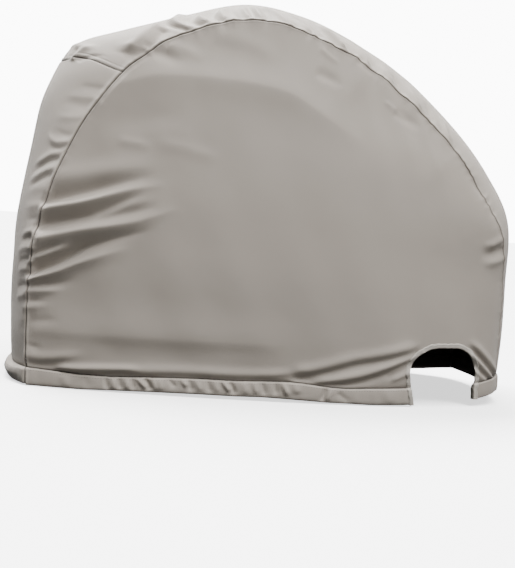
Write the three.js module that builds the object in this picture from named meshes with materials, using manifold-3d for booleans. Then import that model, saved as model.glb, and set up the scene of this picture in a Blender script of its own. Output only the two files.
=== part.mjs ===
// A fitted cloth cover for the engine of an outboard motor, hanging as it does over the engine.
// Millimetres, +X towards the boat, +Y to port, +Z up, with the rear of the hem on z = 0.
// Two side panels are sewn to a strip that runs up the back, over the top and down the front.
// The strip has a cross seam at its rear top corner, and every panel ends below in its own hem
// band. The starboard panel has a bound cut-out in its hem for the hoses to the boat.
import * as THREE from "three";
import { mergeVertices } from "three/addons/utils/BufferGeometryUtils.js";
import Module from "manifold-3d";

const wasm = await Module();
wasm.setup();

// Driving dimensions
const CLOTH = 2;
const SEAM_GAP = 0.4;
const BAND_HEIGHT = 27;
const REAR_LIP = 10;
const BELLY = 8;
const SHOULDER_POWER = 1.8;
const CROWN_POWER = 3.1;

// The seam of a side panel from the rear hem over the top to the front hem: half is its distance
// from the middle plane, and midX and midZ are where the strip's middle line lies beside it.
const SEAM_ROWS = [
  { x: -394, z: 0, half: 240, midX: -432, midZ: -2 },
  { x: -401, z: 90, half: 234, midX: -441, midZ: 89 },
  { x: -401, z: 185, half: 228, midX: -443, midZ: 190 },
  { x: -390, z: 270, half: 222, midX: -439, midZ: 279 },
  { x: -362, z: 360, half: 215, midX: -427, midZ: 376 },
  { x: -322, z: 447, half: 207, midX: -410, midZ: 474 },
  { x: -267, z: 524, half: 200, midX: -380, midZ: 551 },
  { x: -230, z: 557, half: 196, midX: -349, midZ: 588 },
  { x: -190, z: 587, half: 193, midX: -288, midZ: 608 },
  { x: -120, z: 617, half: 190, midX: -170, midZ: 645 },
  { x: -34, z: 630, half: 190, midX: -55, midZ: 674 },
  { x: 50, z: 612, half: 190, midX: 47, midZ: 659 },
  { x: 136, z: 573, half: 190, midX: 144, midZ: 617 },
  { x: 221, z: 514, half: 192, midX: 238, midZ: 562 },
  { x: 298, z: 443, half: 196, midX: 322, midZ: 489 },
  { x: 361, z: 358, half: 198, midX: 394, midZ: 406 },
  { x: 403, z: 288, half: 193, midX: 438, midZ: 324 },
  { x: 412, z: 198, half: 180, midX: 443, midZ: 212 },
  { x: 414, z: 107, half: 173, midX: 440, midZ: 112 },
  { x: 414, z: 20, half: 167, midX: 434, midZ: 16 },
];
const REAR_CORNER_ROW = 5;
const CROSS_SEAM_ROW = 6;
const FRONT_CORNER_ROW = 14.5;

// The hem of a side panel in plan, from the rear seam to the front seam, and how high it hangs.
const HEM_ROWS = [
  { x: -394, half: 240, z: 0 },
  { x: -330, half: 256, z: 0 },
  { x: -240, half: 273, z: 0 },
  { x: -110, half: 286, z: 0 },
  { x: 0, half: 290, z: 0 },
  { x: 110, half: 286, z: 0 },
  { x: 210, half: 274, z: 0 },
  { x: 290, half: 253, z: 2 },
  { x: 354, half: 226, z: 8 },
  { x: 395, half: 197, z: 15 },
  { x: 414, half: 167, z: 20 },
];

// The hem band from the hem up, as shares of its height: how far it stands out of the panel,
// how thick it is there, and how much of the rear lip it takes.
const BAND_ROWS = [
  { up: 0, out: 1, thick: 4, lip: 0.4 },
  { up: 0.18, out: 4.5, thick: 7, lip: 0.9 },
  { up: 0.55, out: 5, thick: 7.5, lip: 1 },
  { up: 0.86, out: 3, thick: 5, lip: 0.6 },
  { up: 1, out: -1.5, thick: 2, lip: 0 },
];

// Folds of a side panel in side view, from one end to the other: bow lifts the middle, rise is
// the height of a ridge or the depth of a trough, above and below are half widths either side.
const STARBOARD_FOLDS = [
  { x0: -376, z0: 302, x1: -220, z1: 350, bow: 2, rise: -5, above: 13, below: 11 },
  { x0: -380, z0: 292, x1: -200, z1: 340, bow: -1, rise: 6, above: 12, below: 10 },
  { x0: -384, z0: 264, x1: -235, z1: 318, bow: -3, rise: -5, above: 12, below: 10 },
  { x0: -396, z0: 238, x1: -180, z1: 296, bow: -2, rise: 9, above: 15, below: 12 },
  { x0: -399, z0: 184, x1: -205, z1: 266, bow: 8, rise: -9, above: 16, below: 13 },
  { x0: -401, z0: 172, x1: -262, z1: 226, bow: -1, rise: 6, above: 12, below: 11 },
  { x0: -402, z0: 158, x1: -318, z1: 180, bow: 0, rise: -4, above: 9, below: 9 },
  { x0: -396, z0: 104, x1: 60, z1: 92, bow: 0, rise: 5, above: 34, below: 12 },
  { x0: -395, z0: 56, x1: -290, z1: 58, bow: 2, rise: 5, above: 10, below: 8 },
  { x0: -340, z0: 38, x1: -110, z1: 48, bow: -2, rise: 6, above: 9, below: 7 },
  { x0: -150, z0: 54, x1: 150, z1: 66, bow: -7, rise: 4, above: 12, below: 9 },
  { x0: 236, z0: 92, x1: -20, z1: 80, bow: 5, rise: -5, above: 9, below: 10 },
  { x0: 238, z0: 74, x1: 90, z1: 42, bow: 3, rise: -5, above: 9, below: 9 },
  { x0: 372, z0: 92, x1: 412, z1: 60, bow: 2, rise: -5, above: 9, below: 9 },
  { x0: 374, z0: 74, x1: 408, z1: 46, bow: 0, rise: 4, above: 8, below: 8 },
];
const PORT_FOLDS = [
  { x0: -380, z0: 286, x1: -240, z1: 338, bow: 2, rise: 6, above: 13, below: 10 },
  { x0: -392, z0: 236, x1: -210, z1: 300, bow: -4, rise: -8, above: 16, below: 14 },
  { x0: -402, z0: 196, x1: -260, z1: 248, bow: 3, rise: 7, above: 15, below: 12 },
  { x0: -398, z0: 96, x1: 180, z1: 92, bow: 0, rise: 5, above: 34, below: 12 },
  { x0: -300, z0: 48, x1: 40, z1: 50, bow: 3, rise: 6, above: 10, below: 8 },
  { x0: 60, z0: 46, x1: 360, z1: 56, bow: 4, rise: 5, above: 10, below: 8 },
];
// Folds of the strip in the same columns: x is the way along it, a hundred to a seam row, and z
// is the way across it from the middle, starboard being negative.
const STRIP_FOLDS = [
  { x0: 250, z0: -224, x1: 240, z1: -150, bow: 0, rise: 4, above: 14, below: 12 },
  { x0: 330, z0: -222, x1: 312, z1: -140, bow: 0, rise: 4, above: 14, below: 12 },
  { x0: 665, z0: -150, x1: 680, z1: 120, bow: 0, rise: 3, above: 22, below: 18 },
  { x0: 765, z0: -196, x1: 725, z1: -110, bow: 0, rise: -6, above: 18, below: 16 },
  { x0: 805, z0: -192, x1: 780, z1: -60, bow: 0, rise: 5, above: 18, below: 16 },
  { x0: 845, z0: -192, x1: 822, z1: -70, bow: 0, rise: -7, above: 16, below: 18 },
  { x0: 905, z0: -188, x1: 890, z1: -80, bow: 0, rise: -5, above: 18, below: 16 },
  { x0: 800, z0: 188, x1: 770, z1: 90, bow: 0, rise: -5, above: 20, below: 20 },
];

// The cut-out in side view, with its two upper corners as quarter ellipses.
const NOTCH = { rearX: 246, frontX: 363, top: 97, rearRound: [56, 44], frontRound: [40, 44] };
const NOTCH_LEAN = 5;
const BINDING_WIDTH = 8;
const BINDING_THICK = 1.2;
const BINDING_GAP = 0.3;
const CORNER_STEPS = 8;

// Steps of the grids: shares of the height above the hem band, and of the length, of a side
// panel, with the cloth between two breaks cut into equal steps.
const crossSeamShare = (CROSS_SEAM_ROW - REAR_CORNER_ROW) / (FRONT_CORNER_ROW - REAR_CORNER_ROW);
const SIDE_ROWS = [
  { until: 0.17, steps: 7 },
  { until: 0.32, steps: 3 },
  { until: 0.82, steps: 16 },
  { until: 1, steps: 3 },
];
const SIDE_COLUMNS = [
  { until: crossSeamShare, steps: 4 },
  { until: 0.36, steps: 12 },
  { until: 0.74, steps: 8 },
  { until: 1, steps: 10 },
];
const STRIP_SIDES = [0, 0.12, 0.3, 0.52, 0.76, 1];

const CLOTH_COLOUR = 0x9b958e;
const BINDING_COLOUR = 0xb8b2a8;

const curveThrough = (points) => new THREE.CatmullRomCurve3(points, false, "catmullrom", 0.5);
const seamCurve = curveThrough(SEAM_ROWS.map((r) => new THREE.Vector3(r.x, -r.half, r.z)));
const middleCurve = curveThrough(SEAM_ROWS.map((r) => new THREE.Vector3(r.midX, 0, r.midZ)));
const hemCurve = curveThrough(HEM_ROWS.map((r) => new THREE.Vector3(r.x, -r.half, r.z)));
const seamAtRow = (row) => row / (SEAM_ROWS.length - 1);
const stripLength = 100 * (SEAM_ROWS.length - 1);

// Where the seam is as high above one of its ends as the hem band.
function bandEnd(end, step) {
  const foot = seamCurve.getPoint(end).z;
  let t = end;
  while (seamCurve.getPoint(t).z < foot + BAND_HEIGHT) t += step;
  return t;
}
const REAR_BAND = bandEnd(0, 0.0001);
const FRONT_BAND = bandEnd(1, -0.0001);
const REAR_CORNER = seamAtRow(REAR_CORNER_ROW);
const FRONT_CORNER = seamAtRow(FRONT_CORNER_ROW);
const CROSS_SEAM = seamAtRow(CROSS_SEAM_ROW);

// The list of shares that a table of breaks and steps stands for, from 0 to 1.
function sharesOf(table) {
  const shares = [0];
  table.forEach((part, k) => {
    const from = k ? table[k - 1].until : 0;
    for (let s = 1; s <= part.steps; s++) {
      shares.push(from + ((part.until - from) * s) / part.steps);
    }
  });
  return shares;
}
const rowShares = sharesOf(SIDE_ROWS);
const columnShares = sharesOf(SIDE_COLUMNS);

const seamUp = (end, corner) => (share) => end + (corner - end) * share;
const rearSeam = seamUp(REAR_BAND, REAR_CORNER);
const frontSeam = seamUp(FRONT_BAND, FRONT_CORNER);
const topSeam = seamUp(REAR_CORNER, FRONT_CORNER);
const rearBandSeam = (up) => REAR_BAND * up;
const frontBandSeam = (up) => 1 - (1 - FRONT_BAND) * up;

const smooth = (x) => {
  const c = THREE.MathUtils.clamp(x, 0, 1);
  return c * c * (3 - 2 * c);
};

// A point of the hem band of the starboard panel: u from its rear to its front seam, up from
// the hem to the top of the band.
function bandPoint(u, up) {
  const rearLift = seamCurve.getPoint(rearBandSeam(up)).sub(seamCurve.getPoint(0));
  const frontLift = seamCurve.getPoint(frontBandSeam(up)).sub(seamCurve.getPoint(1));
  return hemCurve
    .getPointAt(u)
    .addScaledVector(rearLift, 1 - u)
    .addScaledVector(frontLift, u);
}

// A point of the starboard panel above the band, filled in between its four edges. It leans in
// from the hem to the seam, more so towards the top.
function sidePoint(u, v) {
  const foot = bandPoint(u, 1);
  const head = seamCurve.getPoint(topSeam(u));
  const rear = seamCurve.getPoint(rearSeam(v));
  const front = seamCurve.getPoint(frontSeam(v));
  const footRear = bandPoint(0, 1);
  const footFront = bandPoint(1, 1);
  const headRear = seamCurve.getPoint(topSeam(0));
  const headFront = seamCurve.getPoint(topSeam(1));
  const fill = (axis, share, nearRear, nearFront) => {
    const between = (low, high) => low[axis] + (high[axis] - low[axis]) * share;
    return (
      between(foot, head) +
      (rear[axis] - between(footRear, headRear)) * nearRear +
      (front[axis] - between(footFront, headFront)) * nearFront
    );
  };
  const belly = BELLY * Math.sin(Math.PI * u) * Math.sin(Math.PI * v);
  return new THREE.Vector3(
    fill("x", v, 1 - u, u),
    fill("y", v ** SHOULDER_POWER, (1 - u) ** 3, u ** 3) - belly,
    fill("z", v, 1 - u, u),
  );
}

// A point of the strip: t runs along the seams and across from -1, starboard, to 1, port.
function stripPoint(t, across) {
  const seam = seamCurve.getPoint(t);
  const middle = middleCurve.getPoint(t);
  const rise = 1 - Math.abs(across) ** CROWN_POWER;
  return new THREE.Vector3(
    seam.x + (middle.x - seam.x) * rise,
    -seam.y * across,
    seam.z + (middle.z - seam.z) * rise,
  );
}

// The height of a list of folds above the panel at a place in side view.
function foldHeight(folds, x, z) {
  return folds.reduce((sum, f) => {
    const dx = f.x1 - f.x0;
    const dz = f.z1 - f.z0;
    const length = Math.hypot(dx, dz);
    const along = ((x - f.x0) * dx + (z - f.z0) * dz) / (length * length);
    if (along < -0.15 || along > 1.15) return sum;
    const flip = dx < 0 ? -1 : 1;
    const off = (flip * ((z - f.z0) * dx - (x - f.x0) * dz)) / length;
    const fromCrest = off - f.bow * 4 * along * (1 - along);
    const wide = (fromCrest > 0 ? f.above : f.below) * (0.8 + 0.5 * along);
    const fade = smooth((along + 0.15) / 0.25) * smooth((1.15 - along) / 0.55);
    return sum + f.rise * fade * Math.exp(-((fromCrest / wide) ** 2));
  }, 0);
}

// The cells of the starboard panel, in rows from the hem up. A cell on the seam has its t.
function sideCells(folds) {
  const last = columnShares.length - 1;
  const band = BAND_ROWS.slice(0, -1).map((row) =>
    columnShares.map((u, i) => {
      const point = bandPoint(u, row.up);
      const t = i === 0 ? rearBandSeam(row.up) : i === last ? frontBandSeam(row.up) : null;
      return { point, t, row };
    }),
  );
  const top = rowShares.length - 1;
  const field = rowShares.map((v, j) =>
    columnShares.map((u, i) => {
      const point = sidePoint(u, v);
      const t = i === 0 ? rearSeam(v) : i === last ? frontSeam(v) : j === top ? topSeam(u) : null;
      const row = j === 0 ? BAND_ROWS.at(-1) : null;
      const raised = t === null && j > 0 ? foldHeight(folds, point.x, point.z) : 0;
      return { point, t, row, raised };
    }),
  );
  return [...band, ...field];
}

// The cells of the whole strip, in rows from the rear hem over the top to the front hem, each
// row from port to starboard.
function stripCells() {
  const rearRows = BAND_ROWS.slice(0, -1).map((row) => ({ t: rearBandSeam(row.up), row }));
  const frontRows = BAND_ROWS.slice(0, -1).map((row) => ({ t: frontBandSeam(row.up), row }));
  const rows = [
    ...rearRows,
    ...rowShares.map((v, j) => ({ t: rearSeam(v), row: j ? null : BAND_ROWS.at(-1) })),
    ...columnShares.slice(1, -1).map((u) => ({ t: topSeam(u), row: null })),
    ...rowShares.map((v, j) => ({ t: frontSeam(v), row: j ? null : BAND_ROWS.at(-1) })).reverse(),
    ...frontRows.reverse(),
  ];
  const toMiddle = STRIP_SIDES.map((share) => 1 - share);
  const places = [...toMiddle, ...toMiddle.slice(0, -1).reverse().map((across) => -across)];
  return rows.map(({ t, row }) =>
    places.map((across) => {
      const point = stripPoint(t, across);
      if (Math.abs(across) === 1) return { point, t, row };
      return { point, t: null, row, raised: foldHeight(STRIP_FOLDS, t * stripLength, point.y) };
    }),
  );
}

// The outward normals of a grid of cells, each the sum over the faces round the cell.
function gridNormals(cells) {
  const normals = cells.map((row) => row.map(() => new THREE.Vector3()));
  for (let j = 0; j + 1 < cells.length; j++) {
    for (let i = 0; i + 1 < cells[j].length; i++) {
      const around = [[j, i], [j, i + 1], [j + 1, i + 1], [j + 1, i]];
      const [a, b, c, d] = around.map(([row, column]) => cells[row][column].point);
      const face = c.clone().sub(a).cross(d.clone().sub(b)).normalize();
      around.forEach(([row, column]) => normals[row][column].add(face));
    }
  }
  return normals.map((row) => row.map((normal) => normal.normalize()));
}

// Which way the starboard seam's edges face, halfway between the two panels, by place on it.
function seamNormals(side, strip) {
  const sums = new Map();
  [side, strip].forEach((cells) => {
    const normals = gridNormals(cells);
    cells.forEach((row, j) =>
      row.forEach((cell, i) => {
        if (cell.t === null || cell.point.y > 0) return;
        const key = cell.t.toFixed(6);
        sums.set(key, (sums.get(key) ?? new THREE.Vector3()).add(normals[j][i]));
      }),
    );
  });
  sums.forEach((sum) => sum.normalize());
  return sums;
}

// The step that parts a panel from the seam, for the strip (1) or the side panel (-1).
function seamShift(t, normal, towards) {
  const before = seamCurve.getPoint(Math.max(t - 0.001, 0));
  const run = seamCurve.getPoint(Math.min(t + 0.001, 1)).sub(before).normalize();
  const across = normal.clone().cross(run).normalize();
  return across.multiplyScalar((towards * SEAM_GAP) / 2);
}

// The outer and inner faces of the cloth over a grid of cells. extra thickens both ways.
function clothFaces(cells, edgeNormals, towards, extra = 0) {
  const normals = gridNormals(cells);
  const outer = [];
  const inner = [];
  cells.forEach((row, j) => {
    outer.push([]);
    inner.push([]);
    row.forEach((cell, i) => {
      let normal = normals[j][i];
      const place = cell.point.clone();
      if (cell.t !== null) {
        normal = edgeNormals.get(cell.t.toFixed(6)).clone();
        const shift = seamShift(cell.t, normal, towards);
        if (cell.point.y > 0) {
          normal.y *= -1;
          shift.y *= -1;
        }
        place.add(shift);
      }
      const band = cell.row ?? { out: 0, thick: CLOTH, lip: 0 };
      const lip = REAR_LIP * band.lip * smooth((-385 - cell.point.x) / 40);
      const out = band.out + lip + (cell.raised ?? 0);
      outer[j].push(place.clone().addScaledVector(normal, out + extra));
      inner[j].push(place.clone().addScaledVector(normal, out - band.thick - extra));
    });
  });
  return { outer, inner };
}

// The closed sheet between an outer and an inner grid of points.
function closedSheet({ outer, inner }) {
  const rows = outer.length;
  const columns = outer[0].length;
  const positions = [...outer.flat(), ...inner.flat()].flatMap((p) => [p.x, p.y, p.z]);
  const index = [];
  const at = (j, i, face) => face * rows * columns + j * columns + i;
  const quad = (a, b, c, d) => index.push(a, b, c, a, c, d);
  for (let j = 0; j + 1 < rows; j++) {
    for (let i = 0; i + 1 < columns; i++) {
      quad(at(j, i, 0), at(j, i + 1, 0), at(j + 1, i + 1, 0), at(j + 1, i, 0));
      quad(at(j, i, 1), at(j + 1, i, 1), at(j + 1, i + 1, 1), at(j, i + 1, 1));
    }
  }
  for (let i = 0; i + 1 < columns; i++) {
    quad(at(0, i, 1), at(0, i + 1, 1), at(0, i + 1, 0), at(0, i, 0));
    quad(at(rows - 1, i, 0), at(rows - 1, i + 1, 0), at(rows - 1, i + 1, 1), at(rows - 1, i, 1));
  }
  for (let j = 0; j + 1 < rows; j++) {
    quad(at(j, 0, 0), at(j + 1, 0, 0), at(j + 1, 0, 1), at(j, 0, 1));
    quad(at(j, columns - 1, 1), at(j + 1, columns - 1, 1), at(j + 1, columns - 1, 0), at(j, columns - 1, 0));
  }
  const geometry = new THREE.BufferGeometry();
  geometry.setAttribute("position", new THREE.Float32BufferAttribute(positions, 3));
  geometry.setIndex(index);
  return solidOf(geometry);
}

// A closed geometry as a solid that can be cut and joined.
function solidOf(geometry) {
  const bare = geometry.clone();
  bare.deleteAttribute("normal");
  bare.deleteAttribute("uv");
  const merged = mergeVertices(bare, 1e-3);
  return new wasm.Manifold(
    new wasm.Mesh({
      numProp: 3,
      vertProperties: merged.attributes.position.array,
      triVerts: new Uint32Array(merged.index.array),
    }),
  );
}

function meshOf(name, solid, colour) {
  const made = solid.getMesh();
  const geometry = new THREE.BufferGeometry();
  geometry.setAttribute("position", new THREE.BufferAttribute(made.vertProperties, 3));
  geometry.setIndex(new THREE.BufferAttribute(made.triVerts, 1));
  geometry.computeVertexNormals();
  const material = new THREE.MeshStandardMaterial({ color: colour, roughness: 0.85, metalness: 0 });
  const mesh = new THREE.Mesh(geometry, material);
  mesh.name = name;
  return mesh;
}

// A prism through the starboard side in the shape of the cut-out, grown all round by a margin.
function notchPrism(margin) {
  const { rearX, frontX, top, rearRound, frontRound } = NOTCH;
  const shape = new THREE.Shape();
  const below = -20;
  shape.moveTo(frontX + margin, below);
  const arch = (cx, cz, [rx, rz], from) => {
    for (let k = 0; k <= CORNER_STEPS; k++) {
      const angle = from + ((Math.PI / 2) * k) / CORNER_STEPS;
      shape.lineTo(cx + (rx + margin) * Math.cos(angle), cz + (rz + margin) * Math.sin(angle));
    }
  };
  arch(frontX - frontRound[0], top - frontRound[1], frontRound, 0);
  arch(rearX - NOTCH_LEAN + rearRound[0], top - rearRound[1], rearRound, Math.PI / 2);
  shape.lineTo(rearX + NOTCH_LEAN - margin, below);
  shape.closePath();
  const geometry = new THREE.ExtrudeGeometry(shape, { depth: 240, bevelEnabled: false });
  geometry.rotateX(Math.PI / 2);
  geometry.translate(0, -120, 0);
  return solidOf(geometry);
}

const starboardCells = sideCells(STARBOARD_FOLDS);
const portCells = sideCells(PORT_FOLDS);
const strip = stripCells();
const edgeNormals = seamNormals(starboardCells, strip);

const starboard = clothFaces(starboardCells, edgeNormals, -1);
const thickened = clothFaces(starboardCells, edgeNormals, -1, BINDING_THICK);
const port = clothFaces(portCells, edgeNormals, -1);
const stripFaces = clothFaces(strip, edgeNormals, 1);

// One panel of the strip, from row to row, with its end at the cross seam drawn back from it.
function stripPanel(from, to) {
  const cut = (grid) => {
    const rows = grid.slice(from, to + 1).map((row) => row.map((p) => p.clone()));
    const [end, next] = from === 0 ? [rows.at(-1), rows.at(-2)] : [rows[0], rows[1]];
    end.forEach((p, i) => p.addScaledVector(next[i].clone().sub(p).normalize(), SEAM_GAP / 2));
    return rows;
  };
  return closedSheet({ outer: cut(stripFaces.outer), inner: cut(stripFaces.inner) });
}
const crossRow = strip.findIndex((row) => Math.abs(row[0].t - CROSS_SEAM) < 1e-6);

const mirrored = ({ outer, inner }) => {
  const flip = (grid) => grid.map((row) => row.map((p) => new THREE.Vector3(p.x, -p.y, p.z)).reverse());
  return { outer: flip(outer), inner: flip(inner) };
};

const panels = [
  meshOf(
    "side_panel_starboard",
    closedSheet(starboard).subtract(notchPrism(BINDING_WIDTH + BINDING_GAP)),
    CLOTH_COLOUR,
  ),
  meshOf("side_panel_port", closedSheet(mirrored(port)), CLOTH_COLOUR),
  meshOf("rear_panel", stripPanel(0, crossRow), CLOTH_COLOUR),
  meshOf("top_panel", stripPanel(crossRow, strip.length - 1), CLOTH_COLOUR),
  meshOf(
    "notch_binding",
    closedSheet(thickened).intersect(notchPrism(BINDING_WIDTH)).subtract(notchPrism(0)),
    BINDING_COLOUR,
  ),
];

// The cover is set down with the middle of its bounding box on the Z axis and its foot on z = 0.
const cover = new THREE.Group();
cover.add(...panels);
const box = new THREE.Box3().setFromObject(cover);
const middle = box.getCenter(new THREE.Vector3());
panels.forEach((panel) => panel.geometry.translate(-middle.x, -middle.y, -box.min.z));

export default cover;
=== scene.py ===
"""The fitted cloth cover of an outboard motor, as it hangs over the engine that isn't shown.

Sizes are in millimetres on the cutter's plan of the cover: x towards the boat, y to port and z
up from the rear of the hem. PLAN_SHIFT sets the finished cloth down on the frame, in metres.
"""

import math

import bmesh
import bpy
import numpy as np
from mathutils import Matrix, Vector
from mathutils.bvhtree import BVHTree
from mathutils.kdtree import KDTree


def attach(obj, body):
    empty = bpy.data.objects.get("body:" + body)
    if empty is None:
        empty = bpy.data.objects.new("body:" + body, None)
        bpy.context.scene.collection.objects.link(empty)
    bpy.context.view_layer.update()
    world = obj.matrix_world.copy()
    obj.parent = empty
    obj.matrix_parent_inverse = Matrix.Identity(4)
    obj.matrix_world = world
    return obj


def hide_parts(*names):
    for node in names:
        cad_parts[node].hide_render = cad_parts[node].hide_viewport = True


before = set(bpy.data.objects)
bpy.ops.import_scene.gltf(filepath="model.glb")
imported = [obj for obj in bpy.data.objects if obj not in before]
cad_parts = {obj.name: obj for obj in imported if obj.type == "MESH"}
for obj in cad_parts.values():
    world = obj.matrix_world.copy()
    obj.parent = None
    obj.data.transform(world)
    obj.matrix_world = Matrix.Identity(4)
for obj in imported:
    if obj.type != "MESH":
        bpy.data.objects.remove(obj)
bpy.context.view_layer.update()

PLAN_SHIFT = (2.51, -0.42, 2.51)
BAND_HEIGHT = 27.0
REAR_LIP = 8.0
BELLY = 8.0
SHOULDER_POWER = 1.8
CROWN_POWER = 3.1
SEAM_DEPTH = 3.2
SEAM_HALF_WIDTH = 1.3
# SEAM_SHADOW and HEM_SHADOW are the widths of the painted shade along the seams and along the hem's stitch
# line.
SEAM_SHADOW = 1.15
CROSS_SEAM_DEPTH = 1.6
HEM_SEAM_DEPTH = 1.4
TAUT_SEAM = 0.45
HEM_SHADOW = 1.3
PLAN_GAP = 2000.0

# Unevenness of the cloth: how far it stands out, and its shortest and longest wave.
SIDE_SAG = (0.7, 90, 300)
STRIP_SAG = (0.8, 90, 300)
FINE_SAG = (0.05, 30, 70)
SIDE_GATHERS = (0.35, 9, 40)
STRIP_GATHERS = (0.5, 9, 40)
BINDING_CRINKLE = (0.8, 9, 34)

# Beside the seams of the side panels and of the strip: how far in the cloth follows the seam,
# how high it rolls up next to it, and how far its puckers spread.
BESIDE_SIDE = {"follows": 13.0, "roll": 0.6, "puckers": 10.0}
BESIDE_STRIP = {"follows": 14.0, "roll": 0.9, "puckers": 16.0}

# Seeds of the unevenness of each panel.
STARBOARD_SEED = 11
PORT_SEED = 23
REAR_SEED = 37
TOP_SEED = 41
BINDING_SEED = 31
SEAM_SEED = 4

# Stitches: spacing, and a stitch's length, width and height.
STITCH_PITCH = 4.6
BINDING_PITCH = 4.0
CROSS_STITCH = (3.4, 0.75, 0.5)
HEM_STITCH = (3.2, 0.7, 0.45)
BINDING_STITCH = (2.8, 0.7, 0.45)
LAP_ROWS = (2.2, 8.4)
HEM_STITCHES_UP = 0.86

# The seam of a side panel from the rear hem over the top to the front hem, and the strip's
# middle line beside it: x, z, distance of the seam from the middle plane, middle x, middle z.
SEAM_ROWS = np.array([
    (-394, 0, 240, -432, -2),
    (-401, 90, 234, -441, 89),
    (-401, 185, 228, -443, 190),
    (-390, 270, 222, -439, 279),
    (-362, 360, 215, -427, 376),
    (-322, 447, 207, -410, 474),
    (-267, 524, 200, -380, 551),
    (-230, 557, 196, -349, 588),
    (-190, 587, 193, -288, 608),
    (-120, 617, 190, -170, 645),
    (-34, 630, 190, -55, 674),
    (50, 612, 190, 47, 659),
    (136, 573, 190, 144, 617),
    (221, 514, 192, 238, 562),
    (298, 443, 196, 322, 489),
    (361, 358, 198, 394, 406),
    (403, 288, 193, 438, 324),
    (412, 198, 180, 443, 212),
    (414, 107, 173, 440, 112),
    (414, 20, 167, 434, 16),
], float)
REAR_CORNER_ROW = 5.0
CROSS_SEAM_ROW = 6.0
FRONT_CORNER_ROW = 14.5

# The hem of a side panel in plan: x, distance from the middle plane, height.
HEM_ROWS = np.array([
    (-394, 240, 0),
    (-330, 256, 0),
    (-240, 273, 0),
    (-110, 286, 0),
    (0, 290, 0),
    (110, 286, 0),
    (210, 274, 0),
    (290, 253, 2),
    (354, 226, 8),
    (395, 197, 15),
    (414, 167, 20),
], float)

# The turned hem in section, from its raw edge inside, round the foot and up to the stitch line:
# share of the band's height, and distance out of the panel's face.
BAND_SECTION = np.array([
    (0.88, -3.3),
    (0.6, -3.5),
    (0.3, -3.0),
    (0.1, -1.6),
    (0.02, 0.2),
    (0.0, 2.4),
    (0.02, 4.6),
    (0.08, 5.9),
    (0.2, 6.3),
    (0.38, 6.0),
    (0.56, 5.5),
    (0.74, 4.9),
    (0.88, 4.1),
    (0.95, 3.0),
    (0.985, 1.2),
    (1.0, -1.4),
], float)


def through(rows, share):
    """A smooth curve through rows of numbers, at shares of the way from the first to the last."""
    last = len(rows) - 1
    place = np.clip(np.asarray(share, float), 0, 1) * last
    cell = np.minimum(np.floor(place).astype(int), last - 1)
    w = (place - cell)[..., None]
    before = np.vstack([2 * rows[0] - rows[1], rows, 2 * rows[-1] - rows[-2]])
    p0, p1, p2, p3 = (before[cell + k] for k in range(4))
    t0 = (p2 - p0) / 2
    t1 = (p3 - p1) / 2
    return p1 + t0 * w + (3 * (p2 - p1) - 2 * t0 - t1) * w**2 + (2 * (p1 - p2) + t0 + t1) * w**3


def smooth(x):
    c = np.clip(x, 0, 1)
    return c * c * (3 - 2 * c)


def bell(x, wide):
    return np.exp(-((x / wide) ** 2))


# Where the seam is pushed in (-) or out (+) of its fair curve by the stitching: x, size, width.
SEAM_PULLS = [
    (-300, -1.2, 16),
    (-200, 1.0, 16),
    (-152, -1.6, 14),
    (-84, 1.4, 15),
    (-2, 1.0, 12),
    (60, -0.8, 18),
    (96, -1.6, 14),
    (124, 1.8, 12),
    (152, -1.6, 13),
    (178, 1.6, 11),
    (205, -1.4, 12),
    (228, 1.6, 11),
    (262, -1.0, 14),
    (330, 1.0, 18),
]


def seam(t):
    """The starboard seam at shares of its length."""
    row, before, after = (through(SEAM_ROWS[:, :3], t + step) for step in (0.0, -0.002, 0.002))
    step = after - before
    run = np.hypot(step[..., 0], step[..., 1])
    top = smooth((row[..., 1] - 250) / 60)
    pull = sum(size * bell(row[..., 0] - x, wide) for x, size, wide in SEAM_PULLS) * top
    x = row[..., 0] - pull * step[..., 1] / run
    z = row[..., 1] + pull * step[..., 0] / run
    return np.stack([x, -row[..., 2], z], -1)


def middle_line(t):
    row = through(SEAM_ROWS[:, 3:], t)
    return np.stack([row[..., 0], np.zeros_like(row[..., 0]), row[..., 1]], -1)


def hem_line(u):
    """The foot of a side panel at shares of its true length."""
    fine = np.linspace(0, 1, 201)
    rows = through(HEM_ROWS, fine)
    run = np.concatenate([[0], np.cumsum(np.linalg.norm(np.diff(rows, axis=0), axis=1))])
    row = through(HEM_ROWS, np.interp(np.asarray(u) * run[-1], run, fine))
    return np.stack([row[..., 0], -row[..., 1], row[..., 2]], -1)


def band_end(end, step):
    t = end
    foot = seam(np.array(end))[2]
    while seam(np.array(t))[2] < foot + BAND_HEIGHT:
        t += step
    return t


REAR_BAND = band_end(0.0, 0.0001)
FRONT_BAND = band_end(1.0, -0.0001)
LAST_ROW = len(SEAM_ROWS) - 1
REAR_CORNER = REAR_CORNER_ROW / LAST_ROW
CROSS_SEAM = CROSS_SEAM_ROW / LAST_ROW
FRONT_CORNER = FRONT_CORNER_ROW / LAST_ROW


def rear_seam(v):
    return REAR_BAND + (REAR_CORNER - REAR_BAND) * v


def front_seam(v):
    return FRONT_BAND + (FRONT_CORNER - FRONT_BAND) * v


def top_seam(u):
    return REAR_CORNER + (FRONT_CORNER - REAR_CORNER) * u


def band_point(u, up):
    """A point of the side panel's hem band, up from 0 at the hem to 1 at its stitch line."""
    rear_lift = seam(REAR_BAND * up) - seam(np.array(0.0))
    front_lift = seam(1 - (1 - FRONT_BAND) * up) - seam(np.array(1.0))
    u3 = np.asarray(u)[..., None]
    return hem_line(u) + rear_lift * (1 - u3) + front_lift * u3


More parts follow.
